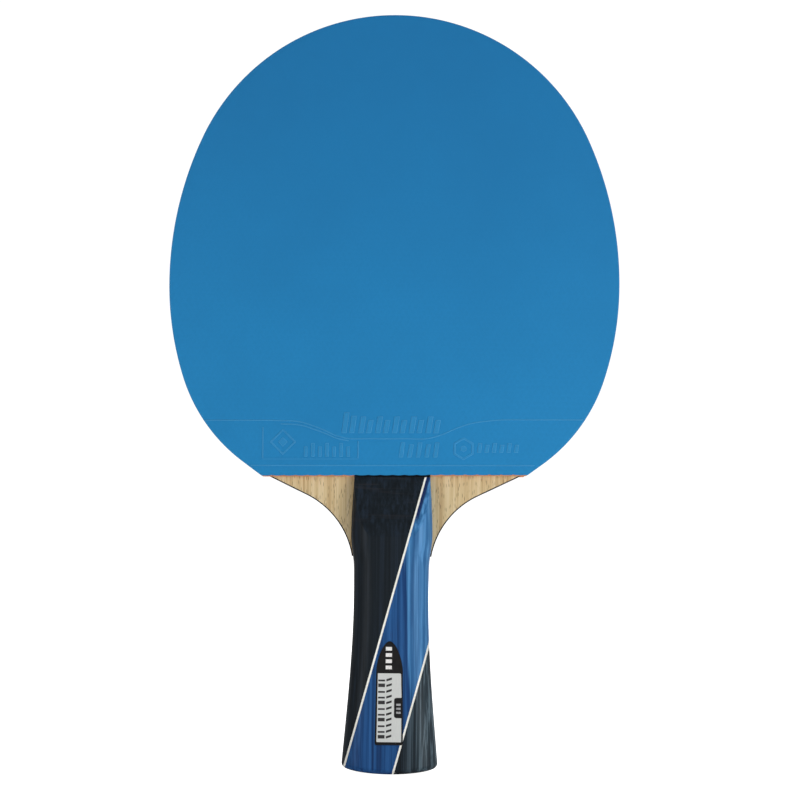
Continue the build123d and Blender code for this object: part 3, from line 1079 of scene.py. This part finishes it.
def printing_ink(name, shade, worn):
    """An ink in one shade, with faint wear."""
    material, tree, shader = new_material(name, Roughness=0.5)
    wear = noise(tree, position(tree), 2500.0)
    body = blend(tree, remap(tree, wear, 0.5, 0.75), shade, worn)
    tree.links.new(body, shader.inputs["Base Color"])
    add_bump(tree, shader, wear, 0.000005)
    return material


white_ink = printing_ink("white ink", colour(238, 236, 234), colour(206, 204, 202))
black_ink = printing_ink("black ink", colour(34, 32, 33), colour(58, 56, 57))
grey_ink = printing_ink("grey ink", colour(168, 168, 170), colour(130, 130, 132))

head_bars = [leaning_bar(-1.6, 35.7 + 2.1 * bar, 2.1, 1.25) for bar in range(4)]
print_bars("badge_head_bars", head_bars, plastic_print, white_ink, "badge_panel")
panel_bars = []
for bar in range(11):
    low = 12.3 + 1.93 * bar
    panel_bars.append(leaning_bar(-4.05, low, 2.3, 0.6 if bar % 3 else 1.2))
    slant = ((-1.3, low), (-1.3, low + 0.75), (0.55, low + 1.35), (0.55, low + 0.6))
    panel_bars.append(np.array(slant) * MM)
print_bars("badge_panel_bars", panel_bars, foil_print, black_ink, "badge_plate")
tab_bars = [leaning_bar(2.1, 20.7 + 1.35 * bar, 1.5, 0.7) for bar in range(3)]
print_bars("badge_tab_bars", tab_bars, plastic_print, grey_ink, "badge_panel")

# ---- the studio ---------------------------------------------------------------------------------
# A plain white floor and background, large soft lights from the right and the left, two small low
# ones close by, and weaker ones overhead and behind. The camera looks straight at the front face
# from a long way off.

white = (1.0, 1.0, 1.0, 1.0)
floor_radius = 4.0
floor_corners = 96
turns = np.linspace(0, 2 * pi, floor_corners, endpoint=False)
rim_points = [(floor_radius * cos(turn), floor_radius * sin(turn), 0.0) for turn in turns]
floor_mesh = bpy.data.meshes.new("floor")
floor_mesh.from_pydata(rim_points, [], [tuple(range(floor_corners))])
floor = bpy.data.objects.new("floor", floor_mesh)
bpy.context.scene.collection.objects.link(floor)
floor_white, tree, shader = new_material("white floor", Roughness=0.9)
paper = noise(tree, position(tree), 60.0)
body = blend(tree, paper, colour(240, 240, 240), colour(246, 246, 246))
tree.links.new(body, shader.inputs["Base Color"])
seen = add_node(tree, "ShaderNodeLightPath").outputs["Is Camera Ray"]
glow = add_node(tree, "ShaderNodeEmission", {"Color": white, "Strength": 1.0})
lit = add_node(tree, "ShaderNodeAddShader", {0: shader.outputs[0], 1: glow.outputs[0]})
either = add_node(tree, "ShaderNodeMixShader", {0: seen, 1: shader.outputs[0], 2: lit.outputs[0]})
tree.links.new(either.outputs[0], tree.nodes["Material Output"].inputs["Surface"])
floor_mesh.materials.append(floor_white)

world = bpy.data.worlds.new("studio")
world.use_nodes = True
bpy.context.scene.world = world
tree = world.node_tree
backdrop = tree.nodes["Background"]
seen = add_node(tree, "ShaderNodeLightPath").outputs["Is Camera Ray"]
room_light = 0.18
seen_light = 1.05
tree.links.new(remap(tree, seen, 0.0, 1.0, room_light, seen_light), backdrop.inputs["Strength"])
backdrop.inputs["Color"].default_value = white

aim = np.array((0.0, 0.0, 0.13))


def soft_light(name, spot, side_length, power):
    """A square soft light at a spot, turned to the paddle."""
    lamp = bpy.data.lights.new(name, "AREA")
    lamp.shape = "SQUARE"
    lamp.size = side_length
    lamp.energy = power
    holder = bpy.data.objects.new(name, lamp)
    bpy.context.scene.collection.objects.link(holder)
    holder.location = spot
    x, y, z = np.array(spot) - aim
    holder.rotation_euler = (atan2(hypot(x, y), z), 0.0, atan2(x, -y))


soft_light("right light", (1.3, -1.0, 0.2), 0.8, 12.5)
soft_light("low right light", (0.26, -0.36, 0.06), 0.14, 0.42)
soft_light("low left light", (-0.26, -0.36, 0.06), 0.14, 0.24)
soft_light("left light", (-1.25, -1.15, 0.3), 1.0, 6.6)
soft_light("top light", (0.0, -0.3, 1.5), 1.2, 1.8)
soft_light("back light", (0.2, 1.3, 0.6), 0.9, 9.0)

view_width = 268.9 * MM
view_distance = 1.4
view_middle = 0.59 * MM
view_height = 128.3 * MM
view_lean = -0.6
camera_data = bpy.data.cameras.new("camera")
camera_data.sensor_width = 36.0
camera_data.lens = camera_data.sensor_width * view_distance / view_width
camera = bpy.data.objects.new("camera", camera_data)
camera.location = (view_middle, -view_distance, view_height)
camera.rotation_euler = (radians(90), radians(view_lean), 0.0)
bpy.context.scene.collection.objects.link(camera)
bpy.context.scene.camera = camera
bpy.context.scene.view_settings.view_transform = "Standard"
